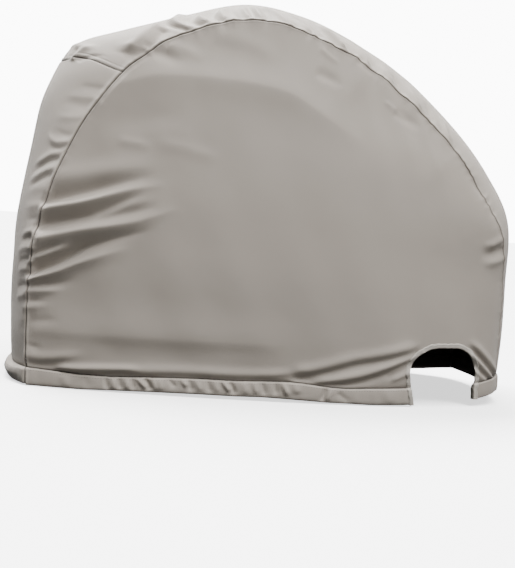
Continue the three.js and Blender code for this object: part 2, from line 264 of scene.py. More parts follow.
def side_point(u, v):
    """A point of the starboard panel above the band, filled in between its four edges."""
    one = np.array(1.0)
    foot = band_point(u, one)
    head = seam(top_seam(u))
    rear = seam(rear_seam(v))
    front = seam(front_seam(v))
    foot_rear = band_point(np.array(0.0), one)
    foot_front = band_point(one, one)
    head_rear = seam(top_seam(np.array(0.0)))
    head_front = seam(top_seam(one))

    def fill(axis, share, near_rear, near_front):
        field = foot[..., axis] + (head[..., axis] - foot[..., axis]) * share
        at_rear = foot_rear[axis] + (head_rear[axis] - foot_rear[axis]) * share
        at_front = foot_front[axis] + (head_front[axis] - foot_front[axis]) * share
        return field + (rear[..., axis] - at_rear) * near_rear + (front[..., axis] - at_front) * near_front

    belly = BELLY * np.sin(np.pi * u) * np.sin(np.pi * v)
    return np.stack([
        fill(0, v, 1 - u, u),
        fill(1, v**SHOULDER_POWER, (1 - u) ** 3, u**3) - belly,
        fill(2, v, 1 - u, u),
    ], -1)


def strip_point(t, across):
    """A point of the strip, across from -1 on the starboard seam to 1 on the port one."""
    edge = seam(t)
    middle = middle_line(t)
    rise = 1 - np.abs(across) ** CROWN_POWER
    return np.stack([
        edge[..., 0] + (middle[..., 0] - edge[..., 0]) * rise,
        -edge[..., 1] * across,
        edge[..., 2] + (middle[..., 2] - edge[..., 2]) * rise,
    ], -1)


def cross_bend(across):
    """How far the cross seam arches over the star of puckers, in shares of the seam's length."""
    return (0.19 * bell(across + 0.74, 0.19) + 0.05 * bell(across - 0.5, 0.3)) / LAST_ROW


def normals_of(points):
    """Outward unit normals of a grid of points, rows up the cloth and columns to its right."""
    up = np.gradient(points, axis=0)
    right = np.gradient(points, axis=1)
    normal = np.cross(right, up)
    return normal / np.maximum(np.linalg.norm(normal, axis=-1, keepdims=True), 1e-9)


# Folds are lines on the cloth: points, rise of the crest (or depth of a trough, negative), half
# width to the left of its run and to the right, at either end where it changes, and the lengths
# over which both ends fade. A sharp below 2 makes a crease of the crest.
def fold(points, rise, left, right, start=20.0, end=60.0, sharp=2.0):
    return {"points": np.array(points, float), "rise": rise,
            "left": left if isinstance(left, tuple) else (left, left),
            "right": right if isinstance(right, tuple) else (right, right),
            "start": start, "end": end, "sharp": sharp}


def fold_height(folds, x, z):
    """How far a list of folds lifts the cloth at places x, z of its plan."""
    height = np.zeros_like(x)
    for f in folds:
        pieces = max(2, 6 * (len(f["points"]) - 1))
        line = through(f["points"], np.linspace(0, 1, pieces + 1))
        reach = 3 * max(*f["left"], *f["right"])
        near = ((x > line[:, 0].min() - reach) & (x < line[:, 0].max() + reach)
                & (z > line[:, 1].min() - reach) & (z < line[:, 1].max() + reach))
        if not near.any():
            continue
        px = x[near]
        pz = z[near]
        best = np.full(px.shape, 1e9)
        side = np.zeros_like(px)
        along = np.zeros_like(px)
        run = np.concatenate([[0], np.cumsum(np.hypot(*np.diff(line, axis=0).T))])
        for k in range(pieces):
            ax, az = line[k]
            dx, dz = line[k + 1] - line[k]
            length = math.hypot(dx, dz)
            raw = ((px - ax) * dx + (pz - az) * dz) / length**2
            low = -1e9 if k == 0 else 0.0
            high = 1e9 if k == pieces - 1 else 1.0
            share = np.clip(raw, low, high)
            gap = np.hypot(px - ax - dx * share, pz - az - dz * share)
            closer = gap < best
            best = np.where(closer, gap, best)
            side = np.where(closer, dx * (pz - az) - dz * (px - ax), side)
            along = np.where(closer, run[k] + share * length, along)
        share = np.clip(along / run[-1], 0, 1)
        left = f["left"][0] + (f["left"][1] - f["left"][0]) * share
        right = f["right"][0] + (f["right"][1] - f["right"][0]) * share
        wide = np.where(side > 0, left, right)
        fade = smooth((along + 4) / f["start"]) * smooth((run[-1] + 4 - along) / f["end"])
        height[near] += f["rise"] * fade * np.exp(-((best / wide) ** f["sharp"]))
    return height


STARBOARD_FOLDS = [
    fold([(-374, 340), (-325, 349), (-243, 366), (-190, 376)], 3.2, (20, 16), (20, 9), 12, 100),
    fold([(-385, 299), (-323, 319), (-242, 345), (-190, 356)], -8.0, (19, 9), (7, 9), 4, 130, 1.7),
    fold([(-390, 290), (-322, 303), (-241, 329), (-180, 343)], 8.6, (7, 9), (13, 7), 4, 140, 1.6),
    fold([(-396, 261), (-327, 277), (-290, 290), (-241, 315), (-215, 325)],
         -8.6, (12, 6), (13, 7), 3, 100, 1.7),
    fold([(-310, 279), (-240, 305), (-195, 320)], 2.6, 9, 7, 25, 60),
    fold([(-300, 272), (-239, 292), (-190, 306)], -2.0, 8, 7, 25, 50, 1.7),
    fold([(-407, 235), (-325, 256), (-238, 275), (-206, 286), (-150, 308)],
         11.6, (13, 9), (21, 7), 3, 190, 1.6),
    fold([(-410, 207), (-364, 227), (-335, 236)], -6.0, 9, 6, 2, 40, 1.7),
    fold([(-410, 199), (-360, 222), (-330, 236)], 5.5, 6, 7, 2, 36),
    fold([(-411, 177), (-358, 201), (-315, 228), (-271, 245), (-237, 256), (-190, 270)],
         -13.0, (18, 6), (5, 7), 3, 170, 1.5),
    fold([(-412, 169), (-357, 187), (-314, 206), (-262, 226), (-225, 238)],
         7.4, (5, 9), (7, 13), 2, 110, 1.6),
    fold([(-414, 160), (-357, 168), (-318, 180)], -4.8, (6, 10), (5, 9), 2, 46, 1.7),
    fold([(-414, 152), (-372, 156), (-340, 160)], 3.6, 5, 7, 2, 36),
    fold([(-414, 135), (-370, 139)], -2.4, 5, 5, 2, 26),
    fold([(-413, 125), (-352, 132)], 2.2, 7, 8, 2, 40),
    fold([(-412, 102), (-340, 109)], -2.0, 8, 8, 2, 40),
    fold([(-400, 64), (-372, 60)], -1.4, 5, 5, 2, 20),
    fold([(-400, 46), (-365, 46), (-337, 50), (-300, 58)], 3.0, 9, 8, 4, 40),
    fold([(-398, 31), (-372, 32), (-345, 38), (-320, 46)], -2.4, 7, 6, 4, 34),
    fold([(-350, 32), (-323, 34), (-282, 37), (-233, 39), (-200, 38)], 5.6, 6, 5, 26, 36),
    fold([(-230, 36), (-160, 38), (-90, 38), (0, 39), (60, 47)], 3.4, 9, 6, 40, 60),
    fold([(-396, 92), (-290, 92), (-180, 92), (-60, 92), (60, 90)], 2.4, 34, 14, 20, 120),
    fold([(-300, 70), (-230, 64), (-150, 62), (-60, 64)], -1.8, 20, 18, 60, 80),
    fold([(38, 46), (71, 51), (104, 60), (137, 70), (179, 78), (222, 89), (258, 99)], 4.2, 11, 7, 30, 34),
    fold([(38, 33), (63, 37), (91, 47), (120, 57), (154, 67), (201, 75), (231, 83), (266, 93)],
         -4.6, 8, 8, 20, 24),
    fold([(72, 33), (105, 38), (130, 43), (164, 50), (197, 62), (232, 76), (268, 88)], 4.2, 9, 6, 30, 14),
    fold([(90, 27), (130, 32), (164, 39), (198, 50), (232, 67), (262, 84)], -3.6, 6, 6, 20, 6),
    fold([(200, 43), (232, 60), (260, 76)], -2.0, 3.5, 3.5, 12, 6),
    fold([(210, 40), (236, 52), (262, 66)], 1.8, 4, 4, 12, 6),
    fold([(346, 112), (379, 84), (398, 66), (413, 54)], 3.8, 7, 5, 34, 6),
    fold([(348, 102), (383, 72), (404, 53), (413, 46)], -4.8, 6, 5, 26, 6),
    fold([(350, 90), (383, 61), (403, 45), (413, 38)], 3.8, 5, 5, 16, 6),
    fold([(350, 78), (382, 52), (400, 40), (412, 34)], -3.0, 4.5, 4.5, 4, 8),
    fold([(350, 66), (380, 46), (398, 36)], 2.2, 4, 4, 4, 8),
    fold([(-355, 470), (-240, 514), (-168, 524), (-44, 517), (18, 504), (60, 480), (113, 447), (159, 425)],
         6.0, 30, 34, 60, 120, 1.5),
    fold([(-218, 566), (-194, 557), (-164, 543)], -3.4, 10, 11, 5, 40),
    fold([(-190, 576), (-160, 568), (-128, 552)], 1.8, 10, 12, 6, 40),
    fold([(-120, 600), (-60, 590), (0, 560)], 1.6, 16, 16, 20, 50),
    fold([(58, 546), (80, 538), (106, 525)], -2.2, 10, 8, 10, 30),
    fold([(66, 588), (80, 577), (96, 566)], 1.1, 4, 5, 6, 14),
    fold([(150, 560), (120, 520), (96, 470)], 1.4, 14, 20, 16, 60),
    fold([(198, 489), (220, 479), (246, 464)], -2.4, 9, 8, 8, 30),
    fold([(182, 505), (200, 492), (214, 480)], 1.0, 5, 5, 4, 16),
    fold([(405, 270), (386, 262), (360, 256)], -4.6, 8, 8, 2, 28),
    fold([(402, 286), (384, 276), (362, 272)], 2.6, 6, 7, 2, 26),
    fold([(410, 250), (392, 246), (366, 240)], 2.6, 7, 7, 2, 26),
    fold([(300, 420), (260, 380), (230, 330)], 1.2, 16, 22, 20, 80),
    fold([(-300, 430), (-220, 450), (-140, 462)], -1.6, 22, 20, 40, 60),
    fold([(-270, 411), (-240, 408), (-208, 404)], 1.1, 7, 9, 20, 30),
    fold([(-206, 412), (-150, 402), (-92, 388)], 1.0, 10, 13, 30, 40),
]

PORT_FOLDS = [
    fold([(-372, 312), (-300, 330), (-220, 352)], -4.0, 13, 11, 10, 60),
    fold([(-380, 290), (-310, 306), (-230, 336)], 6.0, 13, 10, 10, 60),
    fold([(-392, 238), (-320, 262), (-210, 300)], -7.5, 15, 13, 8, 70),
    fold([(-401, 200), (-340, 222), (-255, 252)], 7.0, 14, 11, 8, 60),
    fold([(-402, 160), (-350, 172), (-300, 178)], -3.0, 10, 9, 6, 40),
    fold([(-398, 92), (-200, 92), (0, 92), (180, 90)], 3.4, 34, 13, 20, 120),
    fold([(-300, 42), (-180, 46), (-60, 46), (40, 44)], 5.4, 9, 7, 40, 60),
    fold([(60, 42), (170, 50), (270, 52), (360, 50)], 4.6, 9, 7, 40, 60),
    fold([(250, 80), (320, 96), (395, 104)], -2.6, 13, 13, 30, 40),
]

# Folds of the strip: x is the way across it from the middle line, starboard being negative, and
# z is the way along it, a hundred to a row of the seam table.
STRIP_FOLDS = [
    fold([(-210, 449), (-196, 443), (-183, 441), (-158, 451)], 1.7, 5, 6, 3, 26, 1.7),
    fold([(-212, 436), (-194, 430), (-174, 432)], -1.4, 5, 6, 3, 22, 1.7),
    fold([(-212, 462), (-194, 457), (-172, 460)], -1.1, 6, 6, 3, 24, 1.7),
    fold([(-214, 431), (-191, 419), (-170, 403), (-148, 392)], 1.9, 7, 6, 3, 34, 1.7),
    fold([(-215, 417), (-192, 405), (-170, 389), (-150, 378)], -1.7, 7, 6, 3, 34, 1.7),
    fold([(-218, 402), (-194, 389), (-171, 373), (-148, 362)], 1.9, 7, 6, 3, 34, 1.7),
    fold([(-219, 388), (-196, 375), (-172, 359), (-150, 350)], -1.6, 7, 7, 3, 34, 1.7),
    fold([(-212, 361), (-176, 354), (-140, 346)], 1.0, 12, 12, 6, 40, 1.7),
    fold([(-222, 330), (-190, 322), (-160, 316)], 1.4, 9, 9, 4, 40, 1.7),
    fold([(-224, 306), (-204, 300), (-180, 296)], -1.3, 7, 7, 3, 26, 1.7),
    fold([(-226, 284), (-200, 273), (-174, 262)], 1.8, 7, 8, 3, 30, 1.7),
    fold([(-226, 272), (-204, 262), (-180, 250)], -1.3, 6, 6, 3, 26, 1.7),
    fold([(-220, 249), (-190, 238), (-160, 224)], 1.5, 8, 9, 4, 36, 1.7),
    fold([(-226, 226), (-205, 218), (-178, 210)], -1.3, 6, 6, 3, 24, 1.7),
    fold([(-226, 208), (-205, 201), (-178, 192)], 1.3, 6, 6, 3, 24, 1.7),
    fold([(-229, 178), (-206, 172), (-180, 166)], -1.8, 6, 6, 3, 22, 1.7),
    fold([(-230, 160), (-206, 154), (-182, 150)], 1.8, 6, 6, 3, 22, 1.7),
    fold([(-206, 520), (-184, 516), (-160, 514)], -0.9, 9, 9, 4, 30, 1.7),
    fold([(-205, 560), (-188, 554), (-170, 550)], -1.0, 6, 7, 3, 22, 1.7),
    fold([(-203, 540), (-186, 532), (-160, 526)], 0.9, 8, 7, 3, 26, 1.7),
    fold([(-202, 496), (-184, 488), (-160, 484)], 1.0, 8, 8, 3, 26, 1.7),
    fold([(-150, 664), (-40, 672), (120, 680)], 2.6, 20, 16, 40, 60),
    fold([(-122, 604), (-125, 640), (-133, 691)], 3.6, 7, 10, 8, 50, 1.7),
    fold([(-108, 606), (-106, 640), (-104, 680)], -2.6, 9, 7, 8, 40),
    fold([(-136, 606), (-152, 630), (-166, 650)], -1.8, 7, 7, 5, 30),
    fold([(-182, 680), (-178, 718), (-175, 760), (-164, 806), (-148, 842), (-126, 872)],
         9.0, 12, 9, 50, 30, 1.6),
    fold([(-192, 720), (-190, 760), (-182, 796), (-170, 830)], -5.1, 8, 6, 40, 16, 1.6),
    fold([(-186, 856), (-160, 862), (-128, 880), (-90, 896)], 6.6, 9, 10, 6, 40, 1.7),
    fold([(-193, 852), (-160, 848), (-130, 860), (-100, 872)], -5.0, 7, 7, 4, 40, 1.7),
    fold([(-190, 884), (-160, 884), (-134, 908), (-100, 930)], -5.0, 8, 8, 4, 40, 1.7),
    fold([(-189, 898), (-158, 902), (-134, 916), (-110, 936)], 5.6, 6, 8, 4, 36, 1.7),
    fold([(-190, 916), (-152, 925), (-130, 940), (-88, 956)], -4.4, 8, 7, 4, 36, 1.7),
    fold([(-190, 932), (-152, 940), (-120, 956)], 4.2, 6, 7, 4, 30, 1.7),
    fold([(-190, 956), (-160, 956), (-130, 960)], -3.0, 6, 6, 4, 36),
    fold([(-190, 974), (-160, 976), (-130, 982)], 4.4, 5, 5, 3, 36, 1.7),
    fold([(-190, 987), (-160, 989), (-120, 993)], -4.0, 5, 5, 3, 36, 1.7),
    fold([(-190, 1000), (-160, 999), (-120, 1001)], 4.4, 5, 5, 3, 36, 1.7),
    fold([(-190, 1016), (-160, 1016), (-120, 1020)], -3.4, 6, 5, 3, 36),
    fold([(-191, 1058), (-165, 1040), (-140, 1026), (-110, 1012)], 4.6, 6, 7, 3, 36, 1.7),
    fold([(-191, 1074), (-165, 1056), (-138, 1042), (-110, 1028)], -4.8, 6, 6, 3, 36, 1.7),
    fold([(-192, 1118), (-176, 1108), (-158, 1090), (-130, 1070)], -5.0, 8, 7, 3, 36, 1.7),
    fold([(-192, 1104), (-174, 1092), (-152, 1076)], 4.0, 6, 7, 3, 30, 1.7),
    fold([(-192, 1150), (-172, 1136), (-148, 1116), (-126, 1100)], -4.6, 8, 7, 3, 36, 1.7),
    fold([(-194, 1174), (-177, 1159), (-151, 1136), (-128, 1118)], 6.4, 6, 6, 3, 36, 1.6),
    fold([(-194, 1192), (-176, 1176), (-152, 1154), (-128, 1136)], -6.0, 7, 6, 3, 36, 1.7),
    fold([(-192, 1222), (-174, 1208), (-150, 1188)], 4.0, 7, 8, 3, 34, 1.7),
    fold([(-193, 1246), (-172, 1230), (-148, 1210)], -4.6, 8, 7, 3, 34, 1.7),
    fold([(-194, 1272), (-176, 1256), (-150, 1236)], 3.5, 6, 7, 3, 34, 1.7),
    fold([(-194, 1298), (-174, 1280), (-150, 1262)], -3.2, 8, 8, 3, 30),
    fold([(-195, 1332), (-176, 1316), (-150, 1298)], 2.7, 8, 8, 3, 30),
    fold([(-196, 1362), (-176, 1348), (-150, 1334)], -2.7, 8, 8, 3, 30),
    fold([(-196, 1400), (-176, 1386), (-150, 1374)], 2.6, 8, 8, 3, 30),
    fold([(188, 800), (140, 786), (90, 770)], -4.5, 18, 18, 6, 50),
    fold([(190, 870), (140, 866), (90, 872)], 3.2, 12, 12, 6, 50),
    fold([(190, 1010), (150, 1014), (110, 1020)], 2.4, 8, 8, 4, 36),
    fold([(190, 1190), (150, 1166), (120, 1150)], -2.8, 10, 10, 4, 40),
    fold([(224, 260), (180, 250), (130, 240)], 3.0, 12, 12, 6, 50),
    fold([(214, 420), (190, 410), (150, 396)], -2.6, 9, 9, 6, 40),
    fold([(213, 446), (190, 436), (150, 420)], 2.8, 9, 9, 6, 40),
]

# The hem band's creases in side view, from its stitch line down: both ends, then what a fold has.
HEM_CREASES = [fold([(x, top), (x_foot, foot)], *shape) for x, top, x_foot, foot, *shape in [
    (-262, 24, -260, 4, -3.5, 3, 3, 6, 8),
    (-250, 24, -248, 4, 3.4, 4, 4, 6, 8),
    (-240, 25, -239, 6, -3.0, 3, 3, 6, 8),
    (-229, 25, -226, 5, 3.0, 4, 4, 6, 8),
    (-219, 25, -217, 6, -3.0, 3, 3, 6, 8),
    (-210, 25, -196, 8, 4.6, 4, 3, 6, 8),
    (-198, 25, -190, 6, -4.6, 4, 4, 6, 8),
    (-176, 26, -172, 6, 2.6, 6, 6, 6, 8),
    (-160, 26, -150, 12, -2.6, 4, 4, 6, 8),
    (-140, 27, -130, 14, 3.8, 4, 3, 6, 8),
    (-128, 27, -122, 6, -3.0, 4, 4, 6, 8),
    (-74, 28, -60, 10, 4.3, 4, 3, 6, 8),
    (-62, 28, -52, 6, -3.8, 4, 4, 6, 8),
    (-38, 28, -34, 6, 2.1, 6, 6, 6, 8),
    (14, 30, 16, 8, -3.0, 4, 4, 6, 8),
    (24, 30, 34, 8, 4.6, 4, 3, 6, 8),
    (46, 29, 50, 12, 3.0, 6, 6, 6, 8),
    (99, 26, 92, 4, -4.8, 3, 3, 5, 6),
    (107, 26, 101, 6, 2.6, 4, 4, 5, 6),
    (120, 18, 136, 4, -1.6, 5, 5, 6, 8),
    (-330, 22, -326, 4, 1.3, 8, 8, 6, 8),
    (-296, 22, -290, 4, -1.6, 7, 7, 6, 8),
    (-186, 26, -180, 6, 2.6, 3, 3, 6, 8),
    (-116, 27, -108, 8, 2.4, 4, 4, 6, 8),
    (-98, 28, -92, 6, -2.6, 4, 4, 6, 8),
    (-86, 28, -80, 8, 2.0, 4, 4, 6, 8),
    (-22, 29, -16, 8, 2.6, 3, 4, 6, 8),
    (-9, 29, -3, 6, -2.4, 4, 3, 6, 8),
    (200, 26, 206, 4, 1.3, 9, 9, 6, 8),
]]

# How far the hem band's stitch line and foot leave their level along the panel: x, top, foot.
HEM_WAVES = np.array([
    (-394, 0, -2),
    (-356, -2, -2),
    (-306, -5, -2),
    (-256, -5, 0),
    (-175, -1, 2),
    (-110, 1, 3),
    (-52, 1, 3),
    (-8, 3, 4),
    (30, 4, 3),
    (57, 3, 2),
    (106, -2, 0),
    (131, -3, 0),
    (174, -1, -1),
    (235, 1, 0),
    (414, 0, 0),
], float)


def uneven(x, z, seed, size, shortest, longest, waves=9):
    """Slow unevenness of hanging cloth, as a sum of a few waves in random directions."""
    rng = np.random.default_rng(seed)
    total = np.zeros_like(x)
    for _ in range(waves):
        length = rng.uniform(shortest, longest)
        turn = rng.uniform(0, math.pi)
        phase = rng.uniform(0, 2 * math.pi)
        total += np.sin(2 * math.pi * (x * math.cos(turn) + z * math.sin(turn)) / length + phase)
    return total * size / math.sqrt(waves)


def pucker_line(length, seed, spacing, size):
    """The height of the cloth along a row of stitches, which gather it unevenly."""
    rng = np.random.default_rng(seed)
    places = np.arange(0, length + 1.0, 1.0)
    height = np.zeros_like(places)
    at = 0.0
    while at < length:
        height += rng.uniform(-1, 1) * size * np.exp(-(((places - at) / rng.uniform(2.5, 6)) ** 2))
        at += rng.uniform(0.5, 1.5) * spacing
    return places, height


SEAM_SAMPLES = np.linspace(0, 1, 3001)
SEAM_POINTS = seam(SEAM_SAMPLES)
SEAM_RUN = np.concatenate([[0], np.cumsum(np.linalg.norm(np.diff(SEAM_POINTS, axis=0), axis=1))])
SEAM_PUCKERS = pucker_line(SEAM_RUN[-1], SEAM_SEED, 12.0, 1.25)


def tree_of(points):
    tree = KDTree(len(points))
    for k, p in enumerate(points):
        tree.insert(p, k)
    tree.balance()
    return tree


SEAM_TREE = tree_of(SEAM_POINTS)
CROSS_ACROSS = np.linspace(-1, 1, 401)
CROSS_POINTS = strip_point(CROSS_SEAM + cross_bend(CROSS_ACROSS), CROSS_ACROSS)
CROSS_TREE = tree_of(CROSS_POINTS)


def from_line(tree, points, reach):
    """For each point the nearest point of a line and its distance, up to a reach."""
    flat = points.reshape(-1, 3)
    index = np.zeros(len(flat), int)
    gap = np.full(len(flat), float(reach))
    for k, p in enumerate(flat):
        _, nearest, distance = tree.find(p)
        index[k] = nearest
        gap[k] = min(distance, reach)
    return index.reshape(points.shape[:-1]), gap.reshape(points.shape[:-1])


def from_seam(points, reach):
    """The same from the starboard seam, with port folded over on to starboard."""
    folded = points.copy()
    folded[..., 1] = -np.abs(folded[..., 1])
    return from_line(SEAM_TREE, folded, reach)


def seam_lift(folds, seed):
    """How far the folds of a side panel lift its seam, so that the strip beside it follows."""
    lift = fold_height(folds, SEAM_POINTS[:, 0], SEAM_POINTS[:, 2])
    lift = TAUT_SEAM * lift + uneven(SEAM_POINTS[:, 0], SEAM_POINTS[:, 2], seed, *SIDE_SAG)
    above_band = np.clip((SEAM_POINTS[:, 2] - BAND_HEIGHT) / 12, 0, 1)
    return lift * smooth(above_band)


def follow_seam(height, points, lifts, beside):
    """Brings a panel's height to that of the seam as it nears it."""
    index, gap = from_seam(points, 60)
    shared = np.where(points[..., 1] < 0, lifts[0][index], lifts[1][index])
    w = smooth(gap / beside["follows"])
    return height * w + shared * (1 - w)


def seam_relief(points, beside):
    """The groove of the seam, the roll of cloth beside it and its puckers."""
    index, gap = from_seam(points, 90)
    run = SEAM_RUN[index]
    x = SEAM_POINTS[index, 0]
    z = SEAM_POINTS[index, 2]
    gathered = 0.8 + 1.2 * smooth((z - 165) / 20) * smooth((285 - z) / 30) * (x < 0)
    gathered += 0.9 * smooth((x + 190) / 60) * smooth((z - 280) / 60)
    puckers = np.interp(run, *SEAM_PUCKERS) * np.exp(-((gap / beside["puckers"]) ** 1.5))
    puckers = puckers * smooth(gap / 2.5) * gathered
    groove = -SEAM_DEPTH * bell(gap, SEAM_HALF_WIDTH)
    roll = beside["roll"] * bell(gap - 2.8, 1.5)
    return groove + roll + puckers, gap


def spread(count, edge_steps, start, end):
    """Shares from 0 to 1, with fine steps in front of either end."""
    first = np.array(edge_steps if start else [0.0])
    last = 1 - np.array(edge_steps[::-1] if end else [0.0])
    middle = np.linspace(first[-1], last[0], count + 1)
    return np.concatenate([first[:-1], middle, last[1:]])


def grid_mesh(points, plan, shadow):
    """A sheet of cloth from rows of points, with its own plan in metres as its UV map and its painted shade
    in the groove attribute.
    """
    rows, columns = points.shape[:2]
    bm = bmesh.new()
    bmesh.ops.create_grid(bm, x_segments=columns - 1, y_segments=rows - 1, size=1.0)
    bm.verts.ensure_lookup_table()
    where = np.array([v.co for v in bm.verts])
    column = np.rint((where[:, 0] + 1) / 2 * (columns - 1)).astype(int)
    row = np.rint((where[:, 1] + 1) / 2 * (rows - 1)).astype(int)
    placed = points[row, column]
    flat = plan[row, column]
    painted_shade = shadow[row, column]
    # The groove attribute holds painted shade, which darkens the cloth's colour along the seams, the hem and
    # the stitch rows.
    groove = bm.verts.layers.float.new("groove")
    for v, p, g in zip(bm.verts, placed, painted_shade):
        v.co = p
        v[groove] = g
    uv = bm.loops.layers.uv.new("plan")
    for face in bm.faces:
        face.smooth = True
        for loop in face.loops:
            loop[uv].uv = flat[loop.vert.index] / 1000
    bm.normal_update()
    return bm


def finished(name, bm, material):
    """The sheet as an object on the frame, in metres."""
    shift = Matrix.Translation(Vector(PLAN_SHIFT) / 1000) @ Matrix.Scale(0.001, 4)
    bmesh.ops.transform(bm, matrix=shift, verts=bm.verts)
    mesh = bpy.data.meshes.new(name)
    bm.to_mesh(mesh)
    bm.free()
    made = bpy.data.objects.new(name, mesh)
    bpy.context.collection.objects.link(made)
    made.data.materials.append(material)
    return made


# The rows of the turned hem: share up the band and distance out of the panel. The first
# HIDDEN_ROWS lie inside, where no crease shows.
BAND_UP, BAND_OUT = through(BAND_SECTION, np.linspace(0, 1, 30))[:-1].T
BAND_ROWS = len(BAND_UP)
HIDDEN_ROWS = 9
# The hem's lip at the rear: share up the band, and share of the lip.
LIP_PROFILE = ([0, 0.2, 0.55, 0.85, 1], [0.0, 0.4, 1, 0.9, 0])

# Shares along a panel's edge that lie close together beside its seams.
SIDE_EDGE = [0.0, 0.0009, 0.0018, 0.003, 0.0044, 0.0062, 0.0085, 0.0112]
STRIP_EDGE = [0.0, 0.0022, 0.0046, 0.0075, 0.011, 0.016, 0.022, 0.03]
REAR_ROWS = [0, 0.0025, 0.005, 0.008, 0.012, 0.018]
TOP_ROWS = [0, 0.001, 0.002, 0.0035, 0.005, 0.008]

# The side panel's plan above its hem, for the weave, and how far a strip's hem reaches along it.
SIDE_PLAN = (860, 600)
HEM_REACH = 0.12


def seam_normals():
    """Outward normals along the starboard seam, halfway between the two panels."""
    fine = np.linspace(0, 1, 241)
    u = np.linspace(0, 1, 181)
    field = normals_of(side_point(u[None, :], fine[:, None]))
    places = np.concatenate([rear_seam(fine), top_seam(u[1:-1]), front_seam(fine)[::-1]])
    of_side = np.concatenate([field[:, 0], field[-1, 1:-1], field[::-1, -1]])
    across = np.linspace(1, -1, 121)
    of_strip = normals_of(strip_point(places[:, None], across[None, :]))[:, -1]
    both = 6 * of_side + of_strip
    return places, both / np.linalg.norm(both, axis=1, keepdims=True)


SEAM_NORMALS = seam_normals()


def towards_seam(points, normals, reach=7.0):
    """Turns the normals beside the seams to those that both panels share."""
    index, gap = from_seam(points, 40)
    t = SEAM_SAMPLES[index]
    shared = np.stack([np.interp(t, SEAM_NORMALS[0], SEAM_NORMALS[1][:, k]) for k in range(3)], -1)
    shared[..., 1] = np.where(points[..., 1] > 0, -shared[..., 1], shared[..., 1])
    w = (1 - smooth(gap / reach))[..., None]
    mixed = normals * (1 - w) + shared * w
    return mixed / np.linalg.norm(mixed, axis=-1, keepdims=True)


def hem_relief(x, gathers, thickness):
    """How far the turned hem stands out of its panel, with its rear lip and its gathers."""
    lip = REAR_LIP * smooth((-385 - x) / 40) * np.interp(BAND_UP, *LIP_PROFILE)[:, None]
    outside = (np.arange(BAND_ROWS) >= HIDDEN_ROWS)[:, None]
    swell = np.sin(np.pi * np.clip(BAND_UP, 0, 1))[:, None] ** 0.6
    return BAND_OUT[:, None] * thickness + lip + gathers * outside * swell


def side_panel(folds, creases, lift, columns, rows, seed):
    """The points and plan of the starboard panel with its turned hem and its folds, and its painted shade.
    """
    u = spread(columns, SIDE_EDGE, True, True)
    v = spread(rows, SIDE_EDGE, True, True)
    band = band_point(np.broadcast_to(u, (BAND_ROWS, len(u))), BAND_UP[:, None])
    field = side_point(u[None, :], v[:, None])
    points = np.concatenate([band, field])
    base_normals = normals_of(field)
    normals = np.concatenate([np.broadcast_to(base_normals[:1], band.shape), base_normals])
    normals = towards_seam(points, normals)

    x = points[..., 0]
    z = points[..., 2]
    top_wave = np.interp(x, HEM_WAVES[:, 0], HEM_WAVES[:, 1])
    foot_wave = np.interp(x, HEM_WAVES[:, 0], HEM_WAVES[:, 2])
    level = z / BAND_HEIGHT
    wave = np.where(level < 1, foot_wave + (top_wave - foot_wave) * np.clip(level, 0, 1),
                    top_wave * np.exp(-(z - BAND_HEIGHT) / 30))

    height = fold_height(folds, x, z) + uneven(x, z, seed, *SIDE_SAG)
    height += uneven(x, z, seed + 1, *FINE_SAG)
    height *= smooth(np.clip((z - BAND_HEIGHT) / 7, 0, 1))
    height = follow_seam(height, points, (lift, lift), BESIDE_SIDE)
    height[BAND_ROWS:] -= HEM_SEAM_DEPTH * bell(z[BAND_ROWS:] - z[BAND_ROWS], 3.0)
    in_hem = x[:BAND_ROWS]
    gathers = fold_height(creases, in_hem, z[:BAND_ROWS])
    gathers += uneven(in_hem, 0 * in_hem, seed + 2, *SIDE_GATHERS)
    height[:BAND_ROWS] = hem_relief(in_hem, gathers, 1 - 0.45 * smooth((in_hem - 290) / 70))
    relief, gap = seam_relief(points, BESIDE_SIDE)
    height += relief
    # Painted shade: a dark line along the seam and along the hem's stitch line, stored to darken the cloth's
    # colour.
    shadow = bell(gap, SEAM_SHADOW)
    hem_shadow = bell(z - z[BAND_ROWS], HEM_SHADOW)
    shadow[BAND_ROWS - 1:] = np.maximum(shadow, hem_shadow)[BAND_ROWS - 1:]
    points = points + normals * height[..., None]
    points[..., 2] += wave
    up_plan = np.concatenate([-BAND_UP * BAND_HEIGHT, v * SIDE_PLAN[1]])[:, None]
    plan = np.stack([np.broadcast_to(u * SIDE_PLAN[0], x.shape), np.broadcast_to(up_plan, x.shape)], -1)
    return points, plan, shadow


